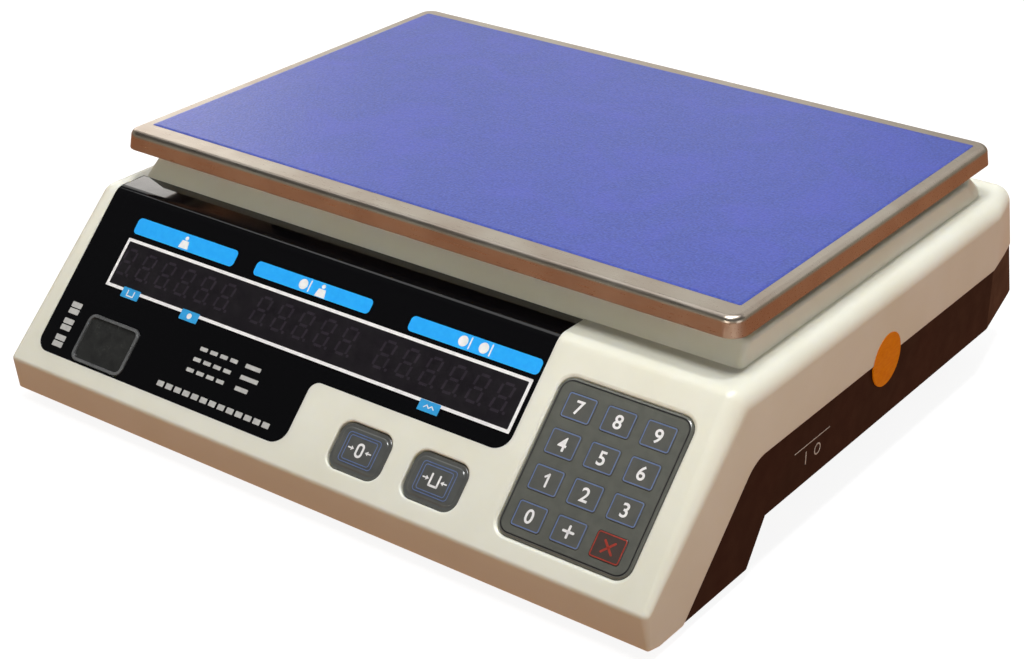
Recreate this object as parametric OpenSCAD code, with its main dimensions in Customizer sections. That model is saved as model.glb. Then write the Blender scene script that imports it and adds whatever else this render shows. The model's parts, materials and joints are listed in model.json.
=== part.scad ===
// Counter scale with a price display: casing, platform, controls, power and load cell.
// X runs to the user's right, Y to the back and Z up. The origin is on the table,
// under the middle of the casing. Lengths are millimetres, angles are degrees.

/* [Casing] */
// Width of the casing
body_w = 363; // [358:1:368]
// Depth from the front lip to the foot of the back wall
body_d = 355; // [352:1:358]
// Height of the flat deck
deck_z = 92; // [91:0.5:94]
// Height of the front lip, where the control slope starts
lip_z = 23.5; // [22.5:0.5:24.5]
// Height of the underside above the table
floor_z = 4; // [3.6:0.2:4.4]
// Tilt of the control slope
slope_tilt = 45.6; // [45:0.2:46.4]
// Lean of the back wall from the vertical
back_lean = 21.8; // [20:0.2:23]
// Thickness of the moulded walls
wall = 2.6; // [2.2:0.1:2.8]
// Height of the seam between cover and tray along the sides
seam_z = 57; // [55:0.5:59]
// Width of the cover's band beside the slope, square to the slope
band_w = 33; // [31:0.5:35]
// Height of the roof of the hand recesses at the sides and back
recess_z = 25; // [24:0.5:26]
// Half width of the deep middle part of the tray
keel_half_w = 153; // [152:0.5:154]

/* [Platform] */
// Width of the steel pan
pan_w = 344.6; // [342:0.2:347]
// Depth of the steel pan
pan_d = 235.6; // [233:0.2:238]
// Distance of the pan's middle behind the casing's middle
pan_y = 15; // [14:0.5:17]
// Height of the pan's steel top
pan_z = 118.2; // [117.5:0.1:119]
// Height of the pan's skirt
pan_skirt = 8.8; // [8.2:0.1:9.6]
// Thickness of the pan's sheet
pan_t = 1; // [0.8:0.1:1.2]
// Height of the step under the pan above the deck
step_h = 9; // [8:0.5:9.5]
// Distance of the corner posts from the pan's middle, to the side
post_x = 112; // [108:1:116]
// Distance of the corner posts from the pan's middle, to the front and back
post_y = 68; // [64:1:69]

/* [Controls] */
// Width of the keypad panel
keypad_w = 65; // [64:0.5:66]
// Height of the keypad panel along the slope
keypad_h = 71.2; // [70:0.2:72]
// Distance of the keypad's middle from the casing's middle
keypad_x = 134.5; // [133:0.5:136]
// Distance of the keypad's middle up the slope from the lip
keypad_s = 45.2; // [44:0.2:46]
// Key width
key_w = 14.2; // [13.6:0.1:14.6]
// Key height along the slope
key_h = 11.4; // [10.8:0.1:11.8]
// Spacing of the key columns
key_pitch_x = 19.2; // [18.8:0.1:19.6]
// Spacing of the key rows
key_pitch_s = 16.2; // [15.8:0.1:16.6]
// Travel of a key
key_travel = 0.5; // [0.3:0.1:0.6]
// Width of the zero and tare buttons
button_w = 28.6; // [27:0.2:29]
// Height of the zero and tare buttons along the slope
button_h = 21.6; // [20:0.2:22]
// Spacing of the LED digits
digit_pitch = 12.7; // [12:0.1:13]

/* [Hidden] */
$fn = 48;

gap = 0.3;                      // clearance between neighbouring mouldings
fit = 0.05;                     // clearance of turning and closely fitted parts
cut = 1;                        // how far a cutter runs past the face it opens
side_taper = 10.3;              // inward turn of the side walls behind the fold
fold_y = 126;                   // where the side walls turn inward
lip_set_back = 3.2;             // how far the front wall's foot stands behind the lip
foot_rise = 2;                  // height of the front wall's foot above the floor
foot_run = 8;                   // length of the slant from that foot down to the floor

front_y = -body_d / 2;
deck_front_y = front_y + (deck_z - lip_z) / tan(slope_tilt);
slope_len = (deck_z - lip_z) / sin(slope_tilt);
function back_wall_y(z) = body_d / 2 + (recess_z - z) * tan(back_lean);
function half_width(y) = body_w / 2 - max(0, y - fold_y) * tan(side_taper);

// Outline of the whole casing seen from the right, as [y, z, corner radius].
side_corners = [
    [front_y + lip_set_back, floor_z + foot_rise, 1.5],
    [front_y + lip_set_back + foot_run, floor_z, 1.5],
    [fold_y, floor_z, 1.5],
    [back_wall_y(floor_z), floor_z, 3],
    [back_wall_y(deck_z), deck_z, 9],
    [fold_y, deck_z, 9],
    [deck_front_y, deck_z, 9],
    [front_y, lip_z, 3]];

// ---------- geometry helpers ----------

function unit(v) = v / norm(v);
function left_of(a, b) = let (d = unit(b - a)) [-d.y, d.x];
function wrap(list, i) = list[(i + len(list)) % len(list)];

// Moves each corner of a counter-clockwise outline inward by its own distance.
function inset(points, distances) = [for (i = [0 : len(points) - 1])
    let (before = left_of(wrap(points, i - 1), points[i]),
         after = left_of(points[i], wrap(points, i + 1)))
    points[i] + (before + after) * distances[i] / (1 + before * after)];

// Points of a circular arc that rounds the corner b of the path a, b, c.
arc_steps = 6;
function corner_arc(a, b, c, r) = r == 0 ? [b] :
    let (u = unit(a - b), v = unit(c - b), half = acos(u * v) / 2,
         centre = b + unit(u + v) * r / sin(half),
         from = b + u * r / tan(half) - centre, to = b + v * r / tan(half) - centre,
         start = atan2(from.y, from.x),
         turn = (atan2(to.y, to.x) - start + 540) % 360 - 180)
    [for (i = [0 : arc_steps]) let (t = start + turn * i / arc_steps)
        centre + r * [cos(t), sin(t)]];
function rounded(points, radii) = [for (i = [0 : len(points) - 1])
    each corner_arc(wrap(points, i - 1), points[i], wrap(points, i + 1), radii[i])];

// Frame of the control slope: X to the right, Y up the slope from the lip, Z out of it.
module on_slope() {
    translate([0, front_y, lip_z]) rotate([slope_tilt, 0, 0]) children();
}

// The Y and Z of a point given by its distance up the slope and out of it.
function off_slope(s, out) = [front_y + s * cos(slope_tilt) - out * sin(slope_tilt),
    lip_z + s * sin(slope_tilt) + out * cos(slope_tilt)];

// Frame of the back wall at height z, seen from behind: X to the viewer's right, Z outward.
module on_back_wall(z) {
    translate([0, back_wall_y(z), z]) rotate([back_lean, 0, 0]) rotate([90, 0, 180])
        children();
}

// Extrudes an outline given in Y and Z along X, about the middle.
module along_x(points, width) {
    rotate([90, 0, 90]) linear_extrude(width, center = true) polygon(points);
}

// Extrudes an outline given in X and Z along Y.
module along_y(points, from, to) {
    translate([0, to, 0]) rotate([90, 0, 0]) linear_extrude(to - from) polygon(points);
}

// Rectangle with round corners, about the origin.
module round_rect(w, h, r) {
    square([w - 2 * r, h], center = true);
    square([w, h - 2 * r], center = true);
    for (x = [-1, 1], y = [-1, 1]) translate([x * (w / 2 - r), y * (h / 2 - r)]) circle(r);
}

// Slab with round corners from z = low to z = high.
module slab(w, h, r, low, high) {
    translate([0, 0, low]) linear_extrude(high - low) round_rect(w, h, r);
}

// Box from one corner to the other.
module box(low, high) {
    translate(low) cube(high - low);
}

// Upright rod from z = low to z = high.
module rod(r, low, high) {
    translate([0, 0, low]) cylinder(r = r, h = high - low);
}

module at_four(x, y) {
    for (sx = [-1, 1], sy = [-1, 1]) translate([sx * x, sy * y, 0]) children();
}

// Pan-head screw standing on z = 0, head up, shank down.
module pan_screw(r, length) {
    rod(r, -length, 0);
    rod(2 * r, 0, 1.3 * r);
}

// ---------- casing ----------

// The casing's rounded outer form, moved inward by t.
module casing(t) {
    outline = [for (c = side_corners) [c.x, c.y]];
    radii = [for (c = side_corners) max(c.z - t, 0.6)];
    centres = inset(outline, [for (r = radii) r + t]);
    hull() for (i = [0 : len(centres) - 1], side = [-1, 1])
        translate([side * (half_width(outline[i].x) - t - radii[i]),
                   centres[i].x, centres[i].y]) sphere(radii[i], $fn = 28);
}

// Space under the seam line, seen from the side and moved down by drop.
seam_radius = 19;
function seam_y(z, drop) = front_y
    + ((z - lip_z) * cos(slope_tilt) + band_w + drop) / sin(slope_tilt);
module under_seam(drop) {
    below = -10;
    far = body_d;
    top = seam_z - drop;
    along_x(rounded([[seam_y(below, drop), below], [far, below], [far, top],
        [seam_y(top, drop), top]], [0, 0, 0, seam_radius]), body_w + 20);
}

// Raised step under the pan; t moves its faces inward.
step_front_y = -93;
step_back_y = 146;
step_half_w = 169;
step_front_run = 8.5;           // how far the front face leans back over its height
step_side_run = 2;
step_back_run = 10;
module step_block(t) {
    low = deck_z - 1 - 4 * t;
    high = deck_z + step_h - t;
    intersection() {
        along_x([[step_front_y + t, low], [step_back_y - t, low], [step_back_y - t, deck_z],
            [step_back_y - step_back_run - t, high], [step_front_y + step_front_run + t, high],
            [step_front_y + t, deck_z]], body_w);
        along_y([[-step_half_w + t, low], [step_half_w - t, low], [step_half_w - t, deck_z],
            [step_half_w - step_side_run - t, high], [-step_half_w + step_side_run + t, high],
            [-step_half_w + t, deck_z]], -body_d, body_d);
        translate([0, 0, low]) linear_extrude(high - low) polygon(rounded(
            [[-step_half_w + t, step_front_y + t], [step_half_w - t, step_front_y + t],
             [step_half_w - t, step_back_y - t], [-step_half_w + t, step_back_y - t]],
            [3, 3, 24, 24]));
    }
}

// ---------- control panel outlines, in the slope frame ----------

overlay_left = -169.6;
overlay_right = 92.4;
overlay_left_s = 8.9;           // lower edge of the overlay's left part
overlay_right_s = 41;           // lower edge of its right part
overlay_notch_x = -12.5;
overlay_top_s = 115;            // past the bend; the step's foot ends the overlay
overlay_t = 0.8;
overlay_sunk = 0.2;
module overlay_outline(inward) {
    left = overlay_left + inward;
    right = overlay_right - inward;
    notch = overlay_notch_x - inward;
    left_s = overlay_left_s + inward;
    right_s = overlay_right_s + inward;
    polygon(rounded([[left, left_s], [notch, left_s], [notch, right_s], [right, right_s],
        [right, overlay_top_s], [left, overlay_top_s]], [7, 8, 5, 8, 1, 1]));
}

window_at = [-130.5, 22];       // clear window at the lower left
window_size = [33, 24];
window_r = 4;

digits_s = 62.5;                // line of the LED digits
digits_sight = [[-152, 52], [90, 74]];
weight_left = -148.6;
price_left = -62.6;
total_left = 9.8;
lamp_at = [[-131, 48.6], [-92.6, 48.5], [48.6, 47.8]];

keypad_at = [keypad_x, keypad_s];
keypad_opening = [59, 65.4];
button_s = 19.8;
zero_x = 25.9;
tare_x = 66.8;

// Key names by row from the top, as [column, row] from the keypad's middle.
key_rows = [["7", "8", "9"], ["4", "5", "6"], ["1", "2", "3"], ["0", "add", "clear"]];
key_block_drop = 0.5;           // the keys stand a little below the panel's middle
function key_at(column, row) = keypad_at
    + [(column - 1) * key_pitch_x, (1.5 - row) * key_pitch_s - key_block_drop];

case_boss_front = [95, -158];
case_boss_back = [161, 134];
case_boss_r = 4.5;
pilot_r = 1.8;
apron_z = floor_z + foot_rise;  // underside of the tray's apron behind the front wall
apron_top = apron_z + wall;

// ---------- cover ----------

module top_cover() {
    color("ivory") {
        cover_shell();
        cover_bosses();
    }
}

module cover_shell() {
    difference() {
        union() {
            difference() {
                casing(0);
                casing(wall);
            }
            step_block(0);
            on_slope() translate([keypad_at.x, keypad_at.y, 0])
                slab(keypad_w + 4, keypad_h + 4, 7.5, -5, -1.5);
            board_posts();
        }
        step_block(wall);
        under_seam(0);
        front_mouth();
        panel_openings();
        back_window_opening();
        for (sx = [-1, 1], sy = [-1, 1]) translate([sx * post_x, pan_y + sy * post_y, 0])
            rod(13, deck_z - 10, deck_z + step_h + cut);
    }
}

// Leaves the cover open underneath, between its front and side walls.
module front_mouth() {
    inner_y = front_y + lip_set_back + wall;
    box([-body_w / 2 + wall, inner_y, 0], [body_w / 2 - wall, -140, apron_top + gap]);
}

// Hollow posts that the case screws bite into.
module cover_bosses() {
    for (sx = [-1, 1]) {
        difference() {
            translate([sx * case_boss_front.x, case_boss_front.y, 0])
                screw_boss(apron_top + gap, deck_z / 2);
            on_slope() box([-body_w / 2, 0, -1], [body_w / 2, band_w + 10, 20]);
        }
        translate([sx * case_boss_back.x, case_boss_back.y, 0])
            screw_boss(recess_z + wall + gap, deck_z - 1);
    }
}

module screw_boss(low, high) {
    difference() {
        rod(case_boss_r, low, high);
        rod(pilot_r, low - cut, low + 18);
    }
}

// Short posts behind the slope that carry the display and button boards.
display_board_low = -11.1;
display_board_high = -9.5;
button_board_low = -11.6;
button_board_high = -10;
module board_posts() {
    on_slope() {
        for (x = [-154.5, 92.5], s = [47, 79])
            translate([x, s, 0]) rod(2.4, display_board_high, -1.5);
        for (x = [7, 86])
            translate([x, 33.5, 0]) rod(2.4, button_board_high, -1.5);
    }
}

// Sunk seats and through openings of the control slope.
module panel_openings() {
    difference() {
        on_slope() translate([0, 0, -25]) linear_extrude(30) overlay_outline(0);
        casing(overlay_t + overlay_sunk);
        box([-body_w, step_front_y - 0.2, 0], [body_w, body_d, 2 * deck_z]);
    }
    on_slope() {
        translate([digits_sight[0].x, digits_sight[0].y, -4])
            cube([digits_sight[1].x - digits_sight[0].x,
                  digits_sight[1].y - digits_sight[0].y, 5]);
        for (p = lamp_at) translate([p.x, p.y, 0]) rod(1.8, -4, cut);
        translate([window_at.x, window_at.y, 0])
            slab(window_size.x - 4, window_size.y - 4, window_r - 2, -4, cut);
        translate([window_at.x, window_at.y, 0])
            slab(window_size.x, window_size.y, window_r, -1.6, cut);
        translate([keypad_at.x, keypad_at.y, 0])
            slab(keypad_w + 2 * gap, keypad_h + 2 * gap, 7, -2, cut);
        translate([keypad_at.x, keypad_at.y, 0])
            slab(keypad_opening.x, keypad_opening.y, 2, -6, cut);
        for (x = [zero_x, tare_x]) translate([x, button_s, 0])
            slab(button_w + 2 * gap, button_h + 2 * gap, 6.4, -4, cut);
    }
}

// ---------- tray ----------

// The tray's outer form, moved inward by t; its top is cut along the seam unless open.
tray_inset = 0.5;
tray_end_y = 150;               // back of the deep middle part
recess_front_y = -101;
recess_ramp = 14;
apron_front_y = front_y + lip_set_back + wall + gap + 0.3;
module tray_form(t) {
    intersection() {
        casing(tray_inset + t);
        union() {
            along_x([[seam_y(0, 0), floor_z + t], [recess_front_y - t / 2, floor_z + t],
                [recess_front_y + recess_ramp - t / 2, recess_z + t], [body_d, recess_z + t],
                [body_d, 2 * seam_z], [seam_y(0, 0), 2 * seam_z]], body_w);
            along_x([[seam_y(0, 0), floor_z + t], [tray_end_y - t, floor_z + t],
                [tray_end_y - t, seam_z], [seam_y(0, 0), seam_z]], 2 * (keel_half_w - t));
        }
    }
}

foot_at = [132, 130];
chassis_z = 12;                 // underside of the chassis plate
chassis_t = 2;
chassis_screw_at = [139, 60];
module base_tray() {
    color("#30191a") difference() {
        union() {
            intersection() {
                difference() {
                    tray_form(0);
                    tray_form(wall);
                }
                under_seam(gap);
            }
            tray_apron();
            at_four(foot_at.x, foot_at.y) rod(9, floor_z + 1, chassis_z);
            at_four(chassis_screw_at.x, chassis_screw_at.y) rod(5, floor_z + 1, chassis_z);
            on_back_wall(gland_z) translate([-gland_x, 0, 0]) rod(11, -5, -1.5);
        }
        at_four(foot_at.x, foot_at.y) rod(5, 0, chassis_z + cut);
        at_four(chassis_screw_at.x, chassis_screw_at.y) rod(pilot_r, floor_z + wall, 20);
        for (sx = [-1, 1]) {
            translate([sx * case_boss_front.x, case_boss_front.y, 0]) rod(2.2, 0, 12);
            translate([sx * case_boss_back.x, case_boss_back.y, 0]) rod(2.2, 20, 30);
        }
        box([switch_at.x - 6.7, switch_at.y - 9.7, recess_z - cut],
            [switch_at.x + 6.7, switch_at.y + 9.7, recess_z + wall + cut]);
        on_back_wall(gland_z) translate([-gland_x, 0, 0]) rod(gland_r + fit, -8, 3);
    }
}

// Floor under the cover's front part, with a rim that stands inside the cover.
module tray_apron() {
    side = body_w / 2 - wall - gap;
    back = seam_y(floor_z, 0) + 3;
    rim_t = 1.6;
    box([-side, apron_front_y, apron_z], [side, back, apron_top]);
    box([-side, back - wall, floor_z], [side, back, apron_top]);
    box([-side, apron_front_y, apron_z], [side, apron_front_y + rim_t, apron_top + 5]);
    for (sx = [0, 1]) mirror([sx, 0, 0])
        box([side - rim_t, apron_front_y, apron_z], [side, back - 4, apron_top + 2]);
}

module chassis_plate() {
    half = [146, 142];
    lip = 7;
    color("silver") difference() {
        union() {
            box([-half.x, -half.y, chassis_z], [half.x, half.y, chassis_z + chassis_t]);
            for (sx = [0, 1]) mirror([sx, 0, 0])
                box([half.x - chassis_t, -half.y, chassis_z],
                    [half.x, half.y, chassis_z + chassis_t + lip]);
            for (x = [-62, 62], y = board_post_y)
                translate([x, y, 0]) rod(2.5, chassis_z + 1, main_board_z);
        }
        at_four(foot_at.x, foot_at.y) rod(4.6, chassis_z - cut, 20);
        at_four(chassis_screw_at.x, chassis_screw_at.y) rod(2.2, chassis_z - cut, 20);
        for (x = cell_base_x) translate([x, pan_y, 0]) rod(3.05, chassis_z - cut, 20);
        for (sx = [-1, 1], sy = [-1, 1])
            translate([sx * stop_x, pan_y + sy * stop_y, 0]) rod(3.05, chassis_z - cut, 20);
    }
}

// ---------- load cell and spider ----------

cell_size = [130, 30, 22];
block_t = 6;
cell_z = chassis_z + chassis_t + block_t;
cell_top = cell_z + cell_size.z;
spider_z = cell_top + 5;
spider_t = 5;
cell_base_x = [-57.5, -42.5];
cell_live_x = [42.5, 57.5];
cell_r = 3.05;
stop_x = 88;
stop_y = 53.5;
post_top = pan_z - pan_t - 6;

module load_cell() {
    hole_x = 13;
    color("gainsboro") translate([0, pan_y, 0]) difference() {
        box([-cell_size.x / 2, -cell_size.y / 2, cell_z],
            [cell_size.x / 2, cell_size.y / 2, cell_top]);
        for (x = [-hole_x, hole_x]) translate([x, 0, cell_z + cell_size.z / 2])
            rotate([90, 0, 0]) cylinder(r = 8, h = cell_size.y + 2 * cut, center = true);
        box([-hole_x, -cell_size.y, cell_z + 9], [hole_x, cell_size.y, cell_z + 13]);
        for (x = cell_base_x) translate([x, 0, 0]) rod(cell_r, cell_z - cut, cell_z + 14);
        for (x = cell_live_x) translate([x, 0, 0]) rod(cell_r, cell_top - 14, cell_top + cut);
    }
}

module cell_block(middle, low, high, holes) {
    color("darkgray") translate([0, pan_y, 0]) difference() {
        box([middle - 14, -15, low], [middle + 14, 15, high]);
        for (x = holes) translate([x, 0, 0]) rod(cell_r, low - cut, high + cut);
    }
}

module cell_base_block() {
    cell_block(-50, chassis_z + chassis_t, cell_z, cell_base_x);
}

module cell_top_block() {
    cell_block(50, cell_top, spider_z, cell_live_x);
}

module cell_base_screws() {
    color("dimgray") for (x = cell_base_x) translate([x, pan_y, chassis_z])
        mirror([0, 0, 1]) hex_screw(3, 20, 3);
}

module cell_live_screws() {
    color("dimgray") for (x = cell_live_x) translate([x, pan_y, spider_z + spider_t])
        hex_screw(3, 22, 4);
}

// Hexagon-head screw standing on z = 0, head up, shank down.
module hex_screw(r, length, head) {
    rod(r, -length, 0);
    cylinder(r = 1.9 * r, h = head, $fn = 6);
}

module spider_frame() {
    arm_w = 18;
    arm_root_x = 50;
    rib_w = 5;
    rib_h = 5;
    rib_start = 36;
    color("lightslategray") translate([0, pan_y, 0]) difference() {
        union() {
            box([-78, -22, spider_z], [78, 22, spider_z + spider_t]);
            for (sx = [-1, 1], sy = [-1, 1]) {
                reach = [sx * (post_x - arm_root_x), sy * post_y];
                turn = atan2(reach.y, reach.x);
                translate([sx * arm_root_x, 0, spider_z]) rotate([0, 0, turn]) {
                    translate([0, -arm_w / 2, 0]) cube([norm(reach), arm_w, spider_t]);
                    translate([rib_start, -rib_w / 2, spider_t - cut])
                        cube([norm(reach) - rib_start, rib_w, rib_h + cut]);
                }
                translate([sx * post_x, sy * post_y, 0]) {
                    rod(11, spider_z, spider_z + spider_t);
                    rod(7, spider_z + spider_t, post_top);
                    rod(3.5, post_top, post_top + 3);
                }
            }
        }
        for (x = cell_live_x) translate([x, 0, 0])
            rod(cell_r, spider_z - cut, spider_z + spider_t + cut);
    }
}

// Screws that stop the spider's arms when the pan is overloaded.
stop_clear = 0.9;
module overload_stops() {
    top = spider_z - stop_clear;
    color("goldenrod") for (sx = [-1, 1], sy = [-1, 1])
        translate([sx * stop_x, pan_y + sy * stop_y, 0]) {
            rod(3, chassis_z - 1.5, top);
            translate([0, 0, chassis_z + chassis_t]) cylinder(r = 5.7, h = 5, $fn = 6);
        }
}

// Rubber caps between the spider's posts and the pan.
module pan_pads() {
    color("black") for (sx = [-1, 1], sy = [-1, 1])
        translate([sx * post_x, pan_y + sy * post_y, 0]) difference() {
            rod(9, post_top, pan_z - pan_t);
            rod(3.55, post_top - cut, post_top + 3.2);
        }
}

module weighing_pan() {
    r = 9;
    color("lightgray") translate([0, pan_y, 0]) difference() {
        slab(pan_w, pan_d, r, pan_z - pan_skirt, pan_z);
        slab(pan_w - 2 * pan_t, pan_d - 2 * pan_t, r - pan_t, pan_z - pan_skirt - cut,
            pan_z - pan_t);
    }
}

film_size = [330, 213.2];
film_y = 17.3;
film_t = 0.4;
module pan_film() {
    color("royalblue") translate([0, film_y, 0])
        slab(film_size.x, film_size.y, 1, pan_z, pan_z + film_t);
}

// ---------- fasteners and feet ----------

module chassis_screws() {
    color("silver") at_four(chassis_screw_at.x, chassis_screw_at.y)
        translate([0, 0, chassis_z + chassis_t]) pan_screw(1.75, 5);
}

module case_screws() {
    color("silver") for (sx = [-1, 1]) {
        translate([sx * case_boss_front.x, case_boss_front.y, apron_z])
            mirror([0, 0, 1]) pan_screw(1.75, 18);
        translate([sx * case_boss_back.x, case_boss_back.y, recess_z])
            mirror([0, 0, 1]) pan_screw(1.75, 20);
    }
}

foot_thread_r = 4;
foot_nut_h = 6.5;
module foot_nuts() {
    color("silver") at_four(foot_at.x, foot_at.y) difference() {
        translate([0, 0, chassis_z + chassis_t])
            cylinder(r = 7.5, h = foot_nut_h, $fn = 6);
        rod(foot_thread_r + fit, chassis_z, 30);
    }
}

// The rubber pad stays still while the stud's flange turns in it.
pad_h = 2.8;
flange_r = 7;
flange_low = 0.8;
flange_high = 1.9;
module foot_pad(sx, sy) {
    color("#202020") translate([sx * foot_at.x, sy * foot_at.y, 0]) difference() {
        union() {
            rod(13, 0, 1.6);
            translate([0, 0, 1.6]) cylinder(r1 = 13, r2 = 11, h = pad_h - 1.6);
        }
        rod(foot_thread_r + fit, flange_low - fit, pad_h + cut);
        rod(flange_r + fit, flange_low - fit, flange_high + fit);
    }
}

module foot_stud(sx, sy) {
    color("silver") translate([sx * foot_at.x, sy * foot_at.y, 0]) {
        rod(flange_r, flange_low, flange_high);
        rod(foot_thread_r, flange_low, 23);
    }
}

// ---------- display ----------

module display_overlay() {
    color("#101014") difference() {
        intersection() {
            difference() {
                casing(overlay_sunk);
                casing(overlay_t + overlay_sunk - fit);
            }
            on_slope() translate([0, 0, -25]) linear_extrude(30) overlay_outline(fit);
        }
        box([-body_w, step_front_y - 0.4, 0], [body_w, body_d, 2 * deck_z]);
        on_slope() translate([window_at.x, window_at.y, 0])
            slab(window_size.x + 0.2, window_size.y + 0.2, window_r, -3, cut);
    }
}

module clear_window() {
    rim = 1.4;
    color("lightgray", 0.6) on_slope() translate([window_at.x, window_at.y, 0]) difference() {
        slab(window_size.x - 0.2, window_size.y - 0.2, window_r - 0.1, -1.5, 0.4);
        slab(window_size.x - 2 * rim, window_size.y - 2 * rim, window_r - rim, -0.6, cut);
    }
}

module display_board() {
    color("seagreen") on_slope() box([-157.5, 44, display_board_low],
        [95.5, 82, display_board_high]);
}

// A row of seven-segment LED digits, each with its segments standing a little proud.
digit_h = 14.2;
digit_w = 7.6;
digit_face = -1.6;
digit_slant = 8;
module digit_row(left, count) {
    height = 19;
    difference() {
        translate([left, digits_s - height / 2, display_board_high])
            cube([count * digit_pitch, height, digit_face - display_board_high]);
        for (i = [0 : count - 1])
            translate([left + (i + 0.5) * digit_pitch, digits_s, digit_face - 0.3])
                digit_segments(0.3 + cut);
    }
}

// The seven bars and the point of one digit, leaning to the right.
digit_bar = 1.3;
digit_split = 0.5;              // total room between a level bar and the upright ones
function lean(p) = [p.x + p.y * tan(digit_slant), p.y];
module segment(middle, size, h) {
    corners = [[-1, -1], [1, -1], [1, 1], [-1, 1]];
    linear_extrude(h) polygon([for (c = corners)
        lean(middle + [c.x * size.x, c.y * size.y] / 2)]);
}

module digit_segments(h) {
    side_x = (digit_w - digit_bar) / 2;
    side_s = (digit_h / 2 - 0.2 * digit_bar) / 2;
    for (s = [-1, 0, 1])
        segment([0, s * (digit_h - digit_bar) / 2],
            [digit_w - 2 * digit_bar - digit_split, digit_bar], h);
    for (x = [-1, 1], s = [-1, 1])
        segment([x * side_x, s * side_s], [digit_bar, digit_h / 2 - 1.8 * digit_bar], h);
    translate([digit_w / 2 + 1, -digit_h / 2 + digit_bar / 2, 0]) cylinder(r = 0.8, h = h);
}

module weight_digits() {
    color("#2a2a30") on_slope() digit_row(weight_left, 6);
}

module price_digits() {
    color("#2a2a30") on_slope() digit_row(price_left, 5);
}

module total_digits() {
    color("#2a2a30") on_slope() digit_row(total_left, 6);
}

module status_lamps() {
    color("firebrick") on_slope() for (p = lamp_at) translate([p.x, p.y, 0])
        rod(1.5, display_board_high, -1.5);
}

// ---------- keypad and buttons ----------

panel_top = -0.4;
panel_low = -2;
module keypad_panel() {
    color("dimgray") on_slope() difference() {
        translate([keypad_at.x, keypad_at.y, 0])
            slab(keypad_w, keypad_h, 6.7, panel_low, panel_top);
        for (row = [0 : 3], column = [0 : 2]) translate(key_at(column, row))
            slab(key_w + 2 * gap, key_h + 2 * gap, 1.2, panel_low - cut, cut);
    }
}

key_foot = -3.8;
module key(column, row) {
    colour = row == 3 && column == 2 ? "indianred" : "slategray";
    color(colour) on_slope() translate(key_at(column, row)) {
        slab(key_w, key_h, 1, key_foot, panel_top + 0.1);
        slab(key_w + 2.2, key_h + 2.2, 1.2, -3.2, -2.4);
    }
}

dome_h = 0.7;
keypad_board_high = key_foot - 2 * key_travel - 0.8;
module keypad_board() {
    color("seagreen") on_slope() {
        translate([keypad_at.x, keypad_at.y, 0])
            slab(keypad_w - 2, keypad_h - 2, 2, keypad_board_high - 1.6, keypad_board_high);
        for (row = [0 : 3], column = [0 : 2]) translate(key_at(column, row))
            rod(3, keypad_board_high, keypad_board_high + dome_h);
    }
}

button_travel = 0.8;
button_foot = -5.2;
module push_button(x) {
    color("#505459") on_slope() translate([x, button_s, 0]) {
        slab(button_w, button_h, 6, -3.4, panel_top);
        slab(button_w + 3.2, button_h + 3.2, 6, -3.6, -2.9);
        rod(3, button_foot, -3.4);
    }
}

module zero_button() {
    push_button(zero_x);
}

module tare_button() {
    push_button(tare_x);
}

module button_board() {
    plunger = button_foot - button_travel - 0.3;
    color("seagreen") on_slope() {
        box([4, 8, button_board_low], [89, 37, button_board_high]);
        for (x = [zero_x, tare_x]) {
            box([x - 3, button_s - 3, button_board_high],
                [x + 3, button_s + 3, button_board_high + 3]);
            translate([x, button_s, 0]) rod(1.7, button_board_high, plunger);
        }
    }
}

// ---------- customer display in the back wall ----------

rear_z = 70;
rear_size = [236, 19];
module back_window_opening() {
    on_back_wall(rear_z) {
        slab(rear_size.x, rear_size.y, 2.5, -1.6, cut);
        slab(rear_size.x - 3, rear_size.y - 3, 1.5, -2 * wall, cut);
    }
}

module rear_window() {
    color("#181014") on_back_wall(rear_z)
        slab(rear_size.x - 0.3, rear_size.y - 0.3, 2.4, -1.5, -0.1);
}

rear_board_high = -9.8;
module rear_digits() {
    width = 15;
    color("#2a2a30") on_back_wall(rear_z) for (left = [-114, -32.5, 36.5])
        difference() {
            count = left == -32.5 ? 5 : 6;
            translate([left, -width / 2, rear_board_high])
                cube([count * digit_pitch, width, -1.8 - rear_board_high]);
            for (i = [0 : count - 1]) translate([left + (i + 0.5) * digit_pitch, 0, -2.1])
                scale([0.9, 0.9, 1]) digit_segments(0.3 + cut);
        }
}

module rear_display_board() {
    color("seagreen") on_back_wall(rear_z)
        box([-117, -8.5, rear_board_high - 1.6], [117, 8.5, rear_board_high]);
}

// ---------- electronics and power ----------

main_board_z = 20;
main_board_t = 1.6;
main_board_y = [-116, -26];
board_post_y = [-108, -34];
module main_board() {
    top = main_board_z + main_board_t;
    chips = [[-50, -70, 14, 14, 2.6], [-15, -74, 22, 18, 3], [28, -66, 10, 24, 2.4],
        [45, -96, 14, 12, 12], [-44, -104, 24, 8, 7]];
    color("darkgreen") box([-70, main_board_y[0], main_board_z], [70, main_board_y[1], top]);
    color("#222222") for (c = chips)
        box([c[0], c[1], top], [c[0] + c[2], c[1] + c[3], top + c[4]]);
    color("silver") for (x = [2, 14]) translate([x, -100, 0]) rod(4, top, top + 11);
}

// Flat cable from the main board up to the underside of the display board.
module display_ribbon() {
    foot = main_board_z + main_board_t;
    back = -53;
    bend_z = 56;
    t = 0.8;
    end = off_slope(66, display_board_low - gap);
    color("gray") along_x([[back - t, foot], [back, foot], [back, bend_z],
        end, end - [0, t], [back - t, bend_z - t]], 22);
}

module transformer() {
    middle = [82, 118];
    base = chassis_z + chassis_t;
    color("darkgoldenrod") translate([middle.x, middle.y, 0]) {
        box([-25, -13, base], [25, 13, base + 42]);
        box([-34, -8, base], [34, 8, base + 2]);
    }
    color("firebrick") translate([middle.x, middle.y, 0])
        box([-15, -20, base + 8], [15, 20, base + 34]);
}

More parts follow.
